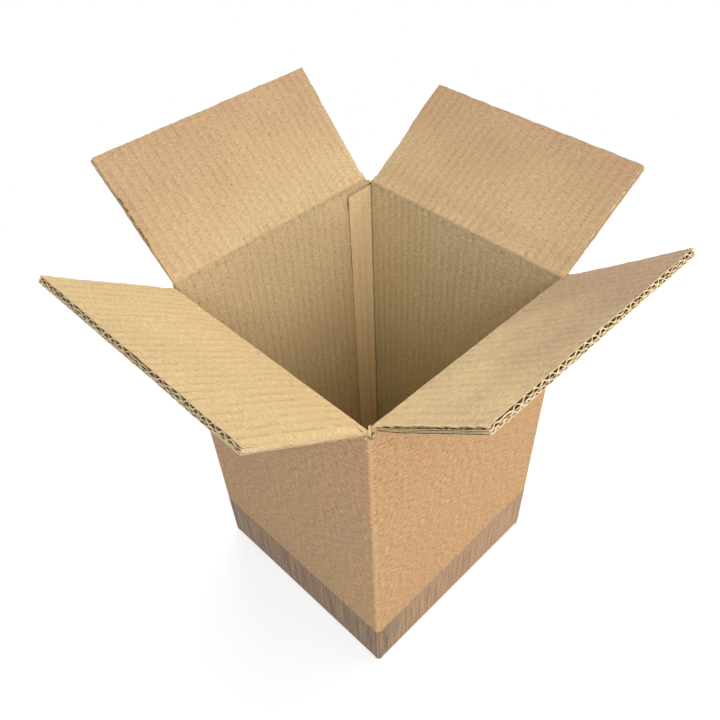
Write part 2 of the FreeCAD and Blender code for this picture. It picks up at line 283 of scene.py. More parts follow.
def grid(points, sheet, inward=False, keep=None, slot=0):
    """Faces between the rows and columns of an array of points, all or only in the columns to keep. They
    face the way that the columns crossed with the rows point, or the other way where inward is set."""
    rows, columns = points.shape[:2]
    index = np.arange(rows * columns).reshape(rows, columns)
    quads = np.stack([index[:-1, :-1], index[:-1, 1:], index[1:, 1:], index[1:, :-1]], -1)
    if keep is not None:
        quads = quads[:, keep]
    quads = quads.reshape(-1, 4)
    if inward:
        quads = quads[:, ::-1]
    return points.reshape(-1, 3), quads, sheet.reshape(-1, 2), np.full(len(quads), slot)


def slab(outer, inner, sheet, rim_slot=1):
    """Closed sheet of paper between two grids of points: both faces, and the cut edge all round."""
    rows, columns = outer.shape[:2]
    count = rows * columns
    front, front_quads, flat, slots = grid(outer, sheet)
    back, back_quads, _, _ = grid(inner, sheet, inward=True)
    index = np.arange(count).reshape(rows, columns)
    ring = np.concatenate([index[0, :], index[1:, -1], index[-1, -2::-1], index[-2:0:-1, 0]])
    following = np.roll(ring, -1)
    rim = np.stack([following, ring, ring + count, following + count], -1)
    points = np.concatenate([front, back])
    quads = np.concatenate([front_quads, back_quads + count, rim])
    slots = np.concatenate([slots, slots, np.full(len(rim), rim_slot)])
    return points, quads, np.concatenate([flat, flat]), slots


def make_piece(name, parts, materials):
    """Mesh from parts given in mm, each with its points, faces, places on the flat board and materials."""
    starts = np.cumsum([0] + [len(part[0]) for part in parts[:-1]])
    points = np.concatenate([part[0] for part in parts]) / 1000
    faces = [face for part, start in zip(parts, starts) for face in (part[1] + start).tolist()]
    flat = np.concatenate([part[2] for part in parts]) / 1000
    mesh = bpy.data.meshes.new(name)
    mesh.from_pydata(points, [], faces)
    corner = np.empty(len(mesh.loops), np.int32)
    mesh.loops.foreach_get("vertex_index", corner)
    mesh.uv_layers.new(name="sheet").data.foreach_set("uv", flat[corner].astype(np.float32).ravel())
    slots = np.concatenate([part[3] for part in parts])
    mesh.polygons.foreach_set("material_index", slots.astype(np.int32))
    for material in materials:
        mesh.materials.append(material)
    mesh.shade_smooth()
    mesh.set_sharp_from_angle(angle=0.75)
    piece = bpy.data.objects.new(name, mesh)
    bpy.context.scene.collection.objects.link(piece)
    return piece


# painted light: the right and back walls are painted a slightly warmer, lighter brown than the front and
# left ones, as on the lit side. The outside corner folds and the strip under the top scores are painted a
# little lighter, painted highlight
outer_kraft = kraft(
    "kraft_liner_outside",
    "#d3ac82",
    "#ddae7b",
    SMALL_PITCH,
    rib=0.05,
    dash=0.05,
    line=0.5,
    stroke=14.0,
    streak=1.6,
    dimple=0.08,
    fold=-0.13,
    half=FOLD_HALF,
    painted_light_ramp=(1, 0, 98, 120),
)
joint_end = (-INSIDE, HALF - JOINT_RADIUS - 0.01)
wall_line = bent_line(
    [(-HALF, HALF), (-HALF, -HALF), (HALF, -HALF), (HALF, HALF), (-INSIDE, HALF), joint_end],
    [FOLD_RADIUS, FOLD_RADIUS, FOLD_RADIUS, JOINT_RADIUS],
    3.0,
    SLOT,
)
is_side = np.isin(wall_line["run"], (0, 2))
top = np.where(wall_line["between"], np.where(is_side, SCORE_HIGH, SCORE_LOW), SLOT_FLOOR)
low = np.where(wall_line["between"], np.where(is_side, FOOT_LOW, FOOT_RAISED), FOOT_CORNER)
round_foot = np.where(wall_line["between"], FOOT_RADIUS, 0.3)

# the skin bulges a little between the corners, above the tape, and a faint upright ridge runs down it
# just beside the middle of the front wall
rise = np.linspace(0, 1, 91)[:, None]
height = low + round_foot + rise * (top - low - round_foot)
girth = np.broadcast_to(wall_line["length"], height.shape)
flat_part = np.clip(np.minimum(height - TAPED, top - height) / 25, 0, 1) * (wall_line["run"] >= 0)
edge_part = np.clip((SLOT - np.minimum(np.abs(wall_line["x"]), np.abs(wall_line["y"]))) / 60, 0, 1)
swell = 0.45 * edge_part * flat_part * np.maximum(0, 1 + rolling(girth, height, 120.0, 3))
ridge = 0.28 * np.exp(-(((girth - RIDGE_AT) / RIDGE_WIDTH) ** 2))
ridge = ridge * np.clip((height - RIDGE_LOW) / 60, 0, 1) * np.clip((RIDGE_HIGH - height) / 20, 0, 1)
upright = along_line(wall_line, SKIN + swell + ridge, height)
turn = np.linspace(np.pi / 2, 0, 8)[:-1, None]
foot_off = (round_foot + SKIN) * np.cos(turn) - round_foot
foot = along_line(wall_line, foot_off, low + round_foot - (round_foot + SKIN) * np.sin(turn))
all_points = np.concatenate([foot, upright])
all_flat = np.stack([np.broadcast_to(wall_line["length"], all_points.shape[:2]), all_points[..., 2]], -1)
wall_faces = grid(all_points, all_flat, keep=wall_line["solid"])
wall_outside = make_piece("wall_outside", [wall_faces], [outer_kraft])
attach(wall_outside, "box")

# Underside. The two outer bottom flaps are folded in from the side walls and meet along the middle,
# so the same kraft face lies under the box, with a seam that the tape covers.
UNDER_EDGE = HALF - FOOT_RADIUS
SEAM = 1.0
under_parts = []
for sign in (-1, 1):
    across = np.sort(sign * np.linspace(SEAM, UNDER_EDGE, 40))
    deep, wide = np.meshgrid(np.linspace(-SLOT, SLOT, 70), across, indexing="ij")
    under = np.stack([wide, deep, np.full(wide.shape, FOOT_LOW - SKIN)], -1)
    under_parts.append(grid(under, np.stack([deep + 500 * sign, wide], -1), inward=True))
wall_under = make_piece("bottom_outside", under_parts, [outer_kraft])
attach(wall_under, "box")

# Cut board. Where the blank is slotted or trimmed, the five plies show: three pale liners with two
# darker layers of fluting between them. The folded blank's own solid carries this finish.
PLY_LIGHT, PLY_DARK = "#dcc391", "#8f6e45"
PLY_CENTRES, PLY_HALF = (0.15, 1.65, 3.85), 0.3
cut_board = bpy.data.materials.new("cut_corrugated_board")
tree = emptied(cut_board)
coordinates = add_node(tree, "TexCoord").outputs["Object"]

# how deep the point lies in the board, from its outer face, and from there which ply it is in
deep = add_node(tree, "VectorMath", coordinates, operation="ABSOLUTE")
deep = add_node(tree, "VectorMath", deep, (-1000.0,) * 3, (HALF,) * 3, operation="MULTIPLY_ADD")
deep = add_node(tree, "SeparateXYZ", deep)
at_side = add_node(tree, "Math", deep, 2 * BOARD + 0.3, operation="LESS_THAN")
depth = add_node(tree, "Mix", at_side, None, deep.outputs[1], deep.outputs[0])
depth = add_node(tree, "Math", depth, BOARD + 0.05, 0.0, operation="WRAP")
liners = add_node(tree, "Math", depth, PLY_CENTRES[0], PLY_HALF, operation="COMPARE")
for centre in PLY_CENTRES[1:]:
    ply = add_node(tree, "Math", depth, centre, PLY_HALF, operation="COMPARE")
    liners = add_node(tree, "Math", liners, ply, operation="MAXIMUM")
pulp = add_node(tree, "TexNoise", coordinates, Scale=700.0, Detail=3.0)
fuzz = add_node(tree, "MapRange", pulp, 0.0, 1.0, 0.75, 1.25)
ply = add_node(tree, "Mix", liners, *TO_COLOURS, linear(PLY_DARK), linear(PLY_LIGHT), data_type="RGBA")
paint = add_node(tree, "VectorMath", ply.outputs[2], operation="SCALE", Scale=fuzz)
bump = add_node(tree, "Bump", Strength=0.7, Distance=0.0004, Height=pulp)
shader = add_node(
    tree,
    "BsdfPrincipled",
    paint,
    **{"Roughness": 0.9, "IOR": 1.47, "Specular IOR Level": 0.2, "Normal": bump},
)
add_node(tree, "OutputMaterial", shader)
frame["nodes"]["carton"].data.materials.clear()
frame["nodes"]["carton"].data.materials.append(cut_board)

# Inside of the walls. The inner liner is paler kraft over the big flutes, whose glued tips print
# thin broken lines down the walls, with soft ribs and dimples between. It turns sharply in the four
# corners and runs out over the glue tab.
BIG_PITCH = 8.1
FLOOR = 8.2
MITRE = BOARD
TAB_WIDTH = 29.3
DRAWN_FROM, DRAWN_OVER, DRAWN_UP = 25.0, 50.0, 2.9


def ease(value):
    """Smooth step from 0 to 1: three times the square less twice the cube, held at its ends."""
    value = np.clip(value, 0, 1)
    return value * value * (3 - 2 * value)


# the left wall's liner has fine dark broken lines, and the others' lines are faint and pale. Both are
# painted darker lower down in the box and darkened in the corner folds and just under the scores, painted
# shade
side_kraft = kraft(
    "kraft_liner_inside_left",
    "#e3c79b",
    "#dbc296",
    BIG_PITCH,
    rib=0.12,
    dash=0.34,
    line=0.42,
    stroke=6.0,
    streak=0.6,
    dimple=0.5,
    fold=0.5,
    painted_light_ramp=(0, -1, -320, -150),
)
wall_kraft = kraft(
    "kraft_liner_inside",
    "#e0cba5",
    "#d5c59c",
    BIG_PITCH,
    rib=0.26,
    dash=-0.08,
    line=0.6,
    stroke=6.0,
    streak=0.7,
    dimple=0.66,
    fold=0.6,
    painted_light_ramp=(0, -1, -320, -150),
)
under_tab = (-INSIDE, INSIDE - TAB_WIDTH + 0.8)
inner_line = bent_line(
    [under_tab, (-INSIDE, -INSIDE), (INSIDE, -INSIDE), (INSIDE, INSIDE), (-INSIDE + BOARD, INSIDE)],
    [0.6, 0.6, 0.6],
    2.0,
    SLOT,
)
is_side = np.isin(inner_line["run"], (0, 2))
top = np.where(inner_line["between"], np.where(is_side, SCORE_HIGH, SCORE_LOW) - MITRE, SLOT_FLOOR)
rise = np.linspace(0, 1, 81)[:, None]
height = FLOOR + rise * (top - FLOOR)
girth = np.broadcast_to(inner_line["length"], height.shape)
calm = np.clip(np.minimum(height - FLOOR, top - height) / 12, 0, 1) * inner_line["between"]
ribs = 0.5 + 0.5 * np.cos(2 * np.pi * girth / BIG_PITCH)
relief = SKIN + calm * (0.12 * ribs + 0.25 * np.maximum(0, 1 + rolling(girth, height, 60.0, 8)))

# beside the glue tab the wall's board is drawn up to the tab by the glue, nearly to its face
on_left = inner_line["run"] == 0
drawn = ease((inner_line["y"] - DRAWN_FROM) / DRAWN_OVER) * on_left
drawn = drawn * np.clip((top - height) / 18, 0, 1) * np.clip((height - FLOOR) / 20, 0, 1)
inside = along_line(inner_line, -(relief + DRAWN_UP * drawn), height)
above = height - np.where(is_side, SCORE_HIGH - SCORE_LOW, 0.0)
inside_flat = np.stack([girth, above], -1)
points, quads, flat, _ = grid(inside, inside_flat, inward=True, keep=inner_line["solid"])
slots = np.tile(on_left[:-1][inner_line["solid"]], len(height) - 1)
wall_inside = make_piece("wall_inside", [(points, quads, flat, slots)], [wall_kraft, side_kraft])
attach(wall_inside, "box")

# Inside of the bottom. The two inner flaps fold in from the front and back walls, lie on the outer
# pair and meet in the middle.
floor_parts = []
for sign in (-1, 1):
    run = np.sort(sign * np.linspace(SEAM, INSIDE, 44))
    deep, wide = np.meshgrid(run, np.linspace(-SLOT, SLOT, 106), indexing="ij")
    dip = 0.15 + 0.12 * (1 + rolling(wide, deep, 50.0, 15)) * np.clip((INSIDE - np.abs(deep)) / 10, 0, 1)
    laid = np.stack([wide, deep, FLOOR + dip], -1)
    floor_parts.append(grid(laid, np.stack([wide, deep * sign + 900.0], -1)))
floor_inside = make_piece("bottom_inside", floor_parts, [wall_kraft])
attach(floor_inside, "box")

# Glue tab. The back wall's edge is bent round the corner and glued flat against the inside of the left
# wall. Its cut edge is crushed thin and takes the darker fluting medium all round: open flutes and glue,
# and painted shade for the gap between the tab and the wall.
TAB_SLANT, TAB_TOP, TAB_FOOT = 0.8, 332.0, 8.7
TAB_BARE = 327.0  # above this the tab's own solid ends, and its face is drawn thicker

# fluting medium: the plain paper of the flutes, darker than the liners and without their lines
void_kraft = kraft(
    "fluting_medium", "#b5946a", "#a2835c", BIG_PITCH, rib=0.0, dash=0.0, line=0.5, stroke=8.0, streak=0.2
)

# the tab's liner is painted the palest of all, painted light that lifts it out of the shade in the back
# corner, with soft ribs and hardly a line. Painted shade darkens it along its fold
tab_kraft = kraft(
    "kraft_liner_glue_tab",
    "#f6dcae",
    "#ecce9f",
    BIG_PITCH,
    rib=0.14,
    dash=0.10,
    line=0.5,
    stroke=6.0,
    streak=0.5,
    dimple=0.3,
    fold=0.62,
)
back_reach = np.linspace(0, 1, 40)[None, :]
climb = np.linspace(0, 1, 121)[:, None]
tab_low = TAB_FOOT + 3 * back_reach
tab_wander = rolling(back_reach * TAB_WIDTH, 0.0, 9.0, 20) * (back_reach > 0)
tab_high = TAB_TOP - TAB_SLANT * back_reach + 0.25 * tab_wander
tab_height = tab_low + climb * (tab_high - tab_low)
tab_deep = INSIDE - TAB_WIDTH * back_reach + 0.25 * back_reach * rolling(0.0, tab_height, 7.0, 21)

# the tab stands off a little beside its fold, and its face swells unevenly
tab_fold = 0.9 * np.exp(-(((back_reach * TAB_WIDTH - 3.2) / 1.7) ** 2))
tab_swell = 0.08 * np.maximum(0, 1 + rolling(tab_deep, tab_height, 24.0, 22))
tab_face = SKIN + tab_swell + tab_fold + 0.1 * back_reach**6
tab_girth = 5 * INSIDE + TAB_WIDTH * back_reach
tab_out = np.stack([-INSIDE + BOARD + tab_face, tab_deep, tab_height], -1)
tab_back = tab_out - np.where(tab_height > TAB_BARE, 1.0, 0.35)[..., None] * np.array([1.0, 0.0, 0.0])
tab_flat = np.stack([np.broadcast_to(tab_girth, tab_height.shape), tab_height - 5.0], -1)
# the tab's rim takes the darker fluting medium, partly painted shade along its edge
glue_tab = make_piece("glue_tab_face", [slab(tab_back, tab_out, tab_flat)], [tab_kraft, void_kraft])
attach(glue_tab, "box")

# Top flaps. Each is a panel of the same five-ply board, creased back on its score: inner liner, big
# fluting, middle liner, small fluting and outer liner, all cut through at the free edge, so the
# flutes stand open there. The board is crushed at the score and springs to its full thickness past it.
ROOT = 4.2
FULLY_BACK = 170.0
REACHES = {"front": 107.7, "right": 107.0, "back": 106.2, "left": 106.5}
SPRING, SPRING_FROM, SPRING_OVER = 1.25, 4.0, 18.0
PRESSED_FROM, PRESSED_OVER = 98.0, 7.0
SLANT, FLARE = 3.6, 0.9
NOTCH, NOTCH_FROM, NOTCH_OVER = 3.8, 34.0, 42.0
SHARPNESS = 9.0
OUTER_STEP = 218.0  # from the middle of one wall to the next, in the sheet's places on the outer liner
PAST_TIP = 1000.0  # a row of points at this distance is drawn back to the flap's tip
TORN_FROM, TORN_TO = 28.0, 78.0
UPRIGHT = np.array([0.0, 0.0, 1.0])

# the plies, in mm in from the board's outer face before it springs: where a liner lies and how thick it
# is, and where the middle of a fluting lies and how high it is
OUTER_PLY, MIDDLE_PLY, INNER_PLY = (0.0, 0.34), (1.48, 0.32), (3.6, 0.33)
SMALL_FLUTE, BIG_FLUTE = (0.90, 0.80), (2.70, 1.50)

# the inner liners of the flaps: crisp short lines over the flutes on the left and back ones, and long soft
# ones on the front and right ones. The left and back ones are painted darker towards their free edges, and
# the right one darker towards its back end and free edge, painted shade
crisp_kraft = kraft(
    "kraft_liner_flaps_raised",
    "#d9ba8a",
    "#c8a279",
    BIG_PITCH,
    rib=0.16,
    dash=0.27,
    line=0.38,
    stroke=4.0,
    streak=0.5,
    dimple=0.34,
    painted_light_ramp=(0, 1, 345, 455),
)
soft_kraft = kraft(
    "kraft_liner_flap_front",
    "#dabb87",
    "#cdac7e",
    BIG_PITCH,
    rib=0.20,
    dash=0.17,
    line=0.7,
    stroke=30.0,
    streak=0.6,
    dimple=0.26,
    painted_light_ramp=(0, -1, -300, -250),
)
calm_kraft = kraft(
    "kraft_liner_flap_right",
    "#edcf99",
    "#bfa07e",
    BIG_PITCH,
    rib=0.16,
    dash=0.09,
    line=0.8,
    stroke=26.0,
    streak=0.8,
    dimple=0.24,
    painted_light_ramp=(1, 0.3, 262, 400),
)
edge_paper = bpy.data.materials.new("cut_paper_edge")
tree = emptied(edge_paper)

# cut paper: the raw edge of a ply, where the knife has opened the fibres, is pale and quite matt. It is
# painted paler still, painted light on the flaps' free edges, which the lamps reach little
coordinates = add_node(tree, "TexCoord").outputs["Object"]
noise = add_node(tree, "TexNoise", coordinates, Scale=900.0, Detail=2.0)
fuzz = add_node(tree, "MapRange", noise, 0.3, 0.7, 0.8, 1.0)
tint = add_node(tree, "VectorMath", linear("#ffe5b3")[:3], operation="SCALE", Scale=fuzz)
shader = add_node(
    tree, "BsdfPrincipled", tint, **{"Roughness": 0.95, "IOR": 1.47, "Specular IOR Level": 0.15}
)
add_node(tree, "OutputMaterial", shader)


def leaf_edge(along, size, depth, seed):
    """How far a knife-cut edge wanders, in mm: rolling unevenness of one size and a finer one on it."""
    return depth * (rolling(along, 0.0, size, seed) + 0.5 * rolling(along, 0.0, size / 4, seed + 1))


def tear(reach):
    """Share of the left flap's tear at a distance from the score: a smooth step up over its first 4 mm,
    times a smooth step down over its last 10 mm."""
    return ease((reach - TORN_FROM) / 4) * ease((TORN_TO - reach) / 10)


folds = {joint["child"]: joint for joint in frame["joints"]}
flap_seed = {"front": 100, "right": 200, "back": 300, "left": 400}
inner_middle = {"left": -2 * INSIDE, "front": 0.0, "right": 2 * INSIDE, "back": 4 * INSIDE}
outer_middle = {"left": -OUTER_STEP, "front": 0.0, "right": OUTER_STEP, "back": 2 * OUTER_STEP}

# how far the crushed plies lie back at the two sides of each flap, and how far its liner lifts there
side_gap = {"front": (0.6, 0.3), "right": (2.2, 0.8), "back": (1.3, 0.8), "left": (0.8, 1.5)}
side_lift = {"front": (0.2, 0.1), "right": (0.7, 0.2), "back": (0.3, 0.2), "left": (0.2, 0.4)}

# the share of its thickness that the knife has pressed out of the board along each side
pressed_side = {"front": (0.2, 0.5), "right": (0.0, 0.2), "back": (0.3, 0.2), "left": (0.2, 0.25)}
for side, fold in folds.items():
    seed = flap_seed[side]
    reach_full = REACHES[side]
    inner_kraft = {"front": soft_kraft, "right": calm_kraft}.get(side, crisp_kraft)
    hinge = np.array(fold["pos_m"]) * 1000
    along_axis = np.array(fold["axis"], float)
    outward = np.cross(along_axis, UPRIGHT)
    lean = np.radians(FULLY_BACK - fold["range_deg"][1])
    up = np.cos(lean) * UPRIGHT + np.sin(lean) * outward
    into = np.sin(lean) * UPRIGHT - np.cos(lean) * outward
    under = SPRING if side in ("left", "right") else 0.0

    def on_flap(run, thick, reach):
        """Point on the flap: run along the hinge, thick in from its outer face, reach from the score.
        Past the crushed score the board is thicker by SPRING, inwards on the flaps that close first and
        outwards on the two that close over them. It is pressed thinner by its share along each side,
        less so near the score and the tip."""
        run, thick, reach = np.broadcast_arrays(run, thick, reach)
        sprung = ease((reach - SPRING_FROM) / SPRING_OVER)
        thick = thick * (1 + SPRING / BOARD * sprung) - under * sprung
        thin = np.where(run < 0, pressed_side[side][0], pressed_side[side][1])
        thin = thin * ease((np.abs(run) - PRESSED_FROM) / PRESSED_OVER) * ease(reach / 12)
        thick = thick * (1 - thin * (1 - 0.85 * ease((reach - 70) / 35)))
        return hinge + run[..., None] * along_axis + thick[..., None] * into + reach[..., None] * up

    score = hinge[2]
    columns = np.linspace(-1, 1, 150)[None, :]
    rows = np.concatenate([np.linspace(0, 0.93, 70), np.linspace(0.94, 1, 10)])[:, None]
    span = rows * reach_full

    def sheet(base, thickness, root, start, middle, lift, depth, peeled=(0.0, 0.0)):
        """Liner whose border follows the knife: its half width, less what is peeled off at each side,
        times the column, and its reach from the root to the wandering tip. At the rim it lifts."""
        near_side = np.clip(np.abs(columns) * 12 - 11, 0, 1)
        half_width = SLOT + leaf_edge(span, 14.0, 0.16, start) * near_side
        half_width = half_width - near_side * np.where(columns < 0, peeled[0], peeled[1])
        run = columns * half_width
        tip = reach_full - 0.2 + leaf_edge(run, 22.0, depth, start + 2)
        reach = root + rows * (tip - root)
        rise = np.where(columns < 0, lift[0], lift[1]) * np.abs(columns) ** 50 * ease(reach / 20)
        rise = rise + 0.15 * rows**40
        sway = np.clip(np.minimum(reach - root, 20) / 20, 0, 1) * rolling(run, reach, 70.0, start + 4)
        body = base + rise * (0.7 + 0.6 * rolling(run, reach, 9.0, start + 5)) + 0.12 * sway
        flat = np.stack([middle + run, score + reach], -1)
        return slab(on_flap(run, body, reach), on_flap(run, body + thickness, reach), flat)

    def trimmed(span):
        """What is cut off at the two ends of the flap at a distance from the score. The left flap's back
        end is cut on a slant that runs out at the tip and flares at the score, and the back flap's left
        end is cut away by a smooth step where it closes over the glue tab."""
        slant = SLANT * (1 - span / reach_full) + FLARE * np.exp(-span / 14)
        notch = NOTCH * (1 - ease((span - NOTCH_FROM) / NOTCH_OVER))
        return slant * (side == "left"), notch * (side == "back")

    def within(back, count):
        """Places along the hinge from one trimmed end of the flap to the other, 0.3 mm inside the
        liners, for each distance from the score."""
        low, high = trimmed(np.minimum(back, reach_full))
        return low + 0.3 - SLOT + (2 * SLOT - 0.6 - low - high) * np.linspace(0, 1, count)

    # the left flap's liner has torn away along its front side, and the back flap's is ragged along its
    # right side
    slant, notch = trimmed(span)
    torn = 1.5 * tear(span) * (1 + 0.45 * rolling(span, 0.0, 6.0, 41) + 0.35 * rolling(span, 0.0, 2.2, 42))
    frayed = 1 + 0.6 * rolling(span, 0.0, 4.5, 43) + 0.3 * rolling(span, 0.0, 1.9, 44)
    frayed = 0.8 * ease((span - 8) / 30) * frayed
    peeled = {"left": (slant, torn + 0.3), "back": (frayed, notch)}.get(side, (0.0, 0.0))
    inner = sheet(*INNER_PLY, ROOT, seed + 10, inner_middle[side], side_lift[side], 0.26, peeled)
    outer = sheet(*OUTER_PLY, 0.1, seed + 20, outer_middle[side], (0.0, 0.0), 0.12, (slant, notch))
    flap_inner = make_piece(f"flap_{side}_inner_liner", [inner], [inner_kraft, edge_paper])
    flap_outer = make_piece(f"flap_{side}_outer_liner", [outer], [outer_kraft, edge_paper])

    # the two flutings, each a wave of paper: a cosine with its crests pressed flat, which slips and is
    # squashed here and there near the free edge
    parts = []
    for (base, rise), pitch, steps, middle in (
        (SMALL_FLUTE, SMALL_PITCH, 14, 0.0),
        (BIG_FLUTE, BIG_PITCH, 16, inner_middle[side]),
    ):
        back = [8.0, 16.0, 30.0, 42.0, 55.0, 68.0, 80.0, 92.0, 100.0, 103.0, 105.0, PAST_TIP]
        back = np.array(back)[:, None]
        run = within(back, int(2 * SLOT / pitch * steps))
        reach = np.minimum(back, reach_full - 0.25 + leaf_edge(run, 9.0, 0.2, seed + 30 + steps))
        slip = 0.7 * rolling(run, 0.0, 40.0, seed + 31 + steps)
        dented = ease((1.2 * rolling(run, 0.0, 34.0, seed + 33 + steps) - 0.35) / 0.5)
        squash = 1 - 0.7 * dented * ease((reach - 92) / 12)
        crest = np.tanh(1.1 * np.cos(2 * np.pi * (middle + run + slip) / pitch)) / np.tanh(1.1)
        shaken = 0.12 * rolling(run, 0.0, 5.0, seed + 36 + steps) * ease((reach - 95) / 10)
        wave = 0.5 * rise * crest * squash + shaken
        slope = np.gradient(wave, axis=1) / np.gradient(run, axis=1)
        burr = 1 + 1.25 * ease((reach - 101) / 3.5) * (1 + 0.7 * rolling(run, 0.0, 5.0, seed + 38 + steps))
        half_paper = 0.15 * burr * np.sqrt(1 + np.minimum(slope**2, 3.0))
        flat = np.stack(np.broadcast_arrays(middle + run, score + reach), -1)
        faces = [on_flap(run, base + wave + away, reach) for away in (-half_paper, half_paper)]
        parts.append(slab(*faces, flat))

    # the liner between them
    back = np.array([8.0, 20.0, 40.0, 60.0, 80.0, 100.0, 104.0, PAST_TIP])[:, None]
    run = within(back, 160)
    reach = np.minimum(back, reach_full - 0.2 + leaf_edge(run, 16.0, 0.2, seed + 50))
    body = MIDDLE_PLY[0] + 0.10 * rolling(run, reach, 18.0, seed + 51)
    flat = np.stack(np.broadcast_arrays(run, score + reach), -1)
    parts.append(slab(on_flap(run, body, reach), on_flap(run, body + MIDDLE_PLY[1], reach), flat))

    # the cut sides, where the last flutes are crushed between the liners: across the thickness the
    # plies come forward and the gaps between them lie back
    reach = np.linspace(0.3, reach_full - 0.8, 150)[:, None]
    thick = np.array([0.30, 0.34, 0.7, 1.2, 1.42, 1.46, 1.82, 1.86, 2.3, 3.0, 3.62, 3.66])[None, :]
    lies_back = np.array([0.0, 0.8, 1.0, 0.8, 0.7, 0.0, 0.0, 0.9, 1.2, 1.4, 1.3, 0.0])[None, :]
    lies_back = lies_back * (1 + 0.5 * rolling(reach, thick * 3, 3.0, seed + 75))
    for end, gap, cut in zip((-1, 1), side_gap[side], trimmed(reach)):
        sunk = 0.35 + 0.65 * np.maximum(0, 1 + rolling(reach, thick * 4, 7.0, seed + 70 + end))
        sunk = gap * sunk * lies_back
        late = 1.6 * tear(reach) * (thick > 2.5) * (side == "left" and end > 0)
        brim = end * (SLOT - 0.35 - 0.12 * rolling(reach, thick, 4.0, seed + 77) - sunk - cut - late)
        rib = on_flap(brim, thick, reach)
        flat = np.stack(np.broadcast_arrays(thick, score + reach), -1)
        parts.append(grid(rib, flat, inward=end > 0, slot=1))
    flap_core = make_piece(f"flap_{side}_fluting", parts, [void_kraft, edge_paper])
    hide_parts(f"flap_{side}")
    for piece in (flap_inner, flap_outer, flap_core):
        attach(piece, side)

    # the crease: the inner liner turns over the pressed score from wall to flap, and the crushed
    # board under it closes the corner down to the hinge line. Its curve runs from the wall's edge to
    # the flap's, drawn by SHARPNESS to where their two faces would meet
    wall_edge = np.array([BOARD + SKIN, -MITRE])
    sine, cosine = np.sin(lean), np.cos(lean)
    flap_edge = np.array([BOARD * cosine - ROOT * sine, BOARD * sine + ROOT * cosine])
    sharp = np.array([BOARD + SKIN, (BOARD - (BOARD + SKIN) * cosine) / sine])
    share = np.linspace(0, 1, 25)[:, None]
    pull = 2 * SHARPNESS * share * (1 - share)
    weight = (1 - share) ** 2 + pull + share**2
    arc = ((1 - share) ** 2 * wall_edge + pull * sharp + share**2 * flap_edge) / weight
    pressed = 0.12 * np.exp(-(((share - 0.5) / 0.12) ** 2))
    arc = arc * (1 - pressed / np.hypot(arc[:, :1], arc[:, 1:]))
    loop = np.concatenate([[[0.0, 0.0]], arc])
    run = np.linspace(-SLOT + 0.6 * np.max(slant), SLOT - 0.8 * np.max(notch), 141)
    shiver = np.concatenate([[[0.0]], 0.22 * np.sin(np.pi * share) ** 2])
    shiver = shiver * rolling(run[None, :], 0.0, 16.0, seed + 60)
    depth_in = (loop[:, :1] * (1 + shiver / 5))[..., None]
    crease = hinge + run[None, :, None] * along_axis - depth_in * outward + loop[:, None, 1:] * UPRIGHT
    count, width = crease.shape[:2]
    measure = np.concatenate([[0.0], np.linspace(-MITRE, ROOT, count - 1)])
    flat = np.broadcast_arrays(inner_middle[side] + run[None, :], SCORE_LOW + measure[:, None])
    flat = np.stack(flat, -1)
    closed, closed_flat = (np.concatenate([rows_of, rows_of[:1]]) for rows_of in (crease, flat))
    points, quads, flat, _ = grid(closed, closed_flat, inward=True)
    on_wall = np.repeat(np.arange(count) < count // 2, width - 1)
    slots = np.where(on_wall, 2, 0)
    fan = np.stack([np.zeros(count - 2, int), np.arange(1, count - 1), np.arange(2, count)], -1)
    end_flat, end_slots = np.stack([measure, measure], -1), np.ones(count - 2)
    parts = [
        (points, quads, flat, slots),
        (crease[:, 0], fan[:, ::-1], end_flat, end_slots),
        (crease[:, -1], fan, end_flat, end_slots),
    ]
    wall_liner = side_kraft if side == "left" else wall_kraft
    crease_piece = make_piece(f"crease_{side}", parts, [inner_kraft, edge_paper, wall_liner])
    end = hinge - flap_edge[0] * outward + flap_edge[1] * UPRIGHT
    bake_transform(crease_piece)

# Torn bits. At the front corner the slot was not cut quite through, and the liner tore as the flaps
# were first opened: small crumpled shreds of it stand on the corner of the walls, and one at the back.
def shred(base, way, across, curl, length, width, seed):
    """Strip of torn paper: a path that leaves base along way and bends round by curl radians over its
    length, with the width laid off along across. Its sides are ragged and its face is crumpled."""
    base, way, across = (np.array(v, float) for v in (base, way, across))
    way, across = way / np.linalg.norm(way), across / np.linalg.norm(across)
    over = np.cross(way, across)
    u = np.linspace(0, 1, 22)[:, None]
    v = np.linspace(-0.5, 0.5, 11)[None, :]
    taper = (1 - 0.5 * u) * (1 + 0.5 * rolling(u * length, 0.0, 2.6, seed))
    u = u * (1 - 0.35 * np.abs(rolling(v * width, 0.0, 2.2, seed + 1)) * u)
    ahead = length * np.sin(curl * u) / curl
    crumple = 0.55 * rolling(u * length, v * width, 2.6, seed + 2) * np.minimum(1, 3 * u)
    aside = length * (1 - np.cos(curl * u)) / curl + crumple
    path = base + ahead[..., None] * way + aside[..., None] * over + (width * v * taper)[..., None] * across
    normal = np.cos(curl * u)[..., None] * over - np.sin(curl * u)[..., None] * way
    flat = np.stack(np.broadcast_arrays(width * v, length * u), -1)
    return slab(path - 0.13 * normal, path + 0.13 * normal, flat)


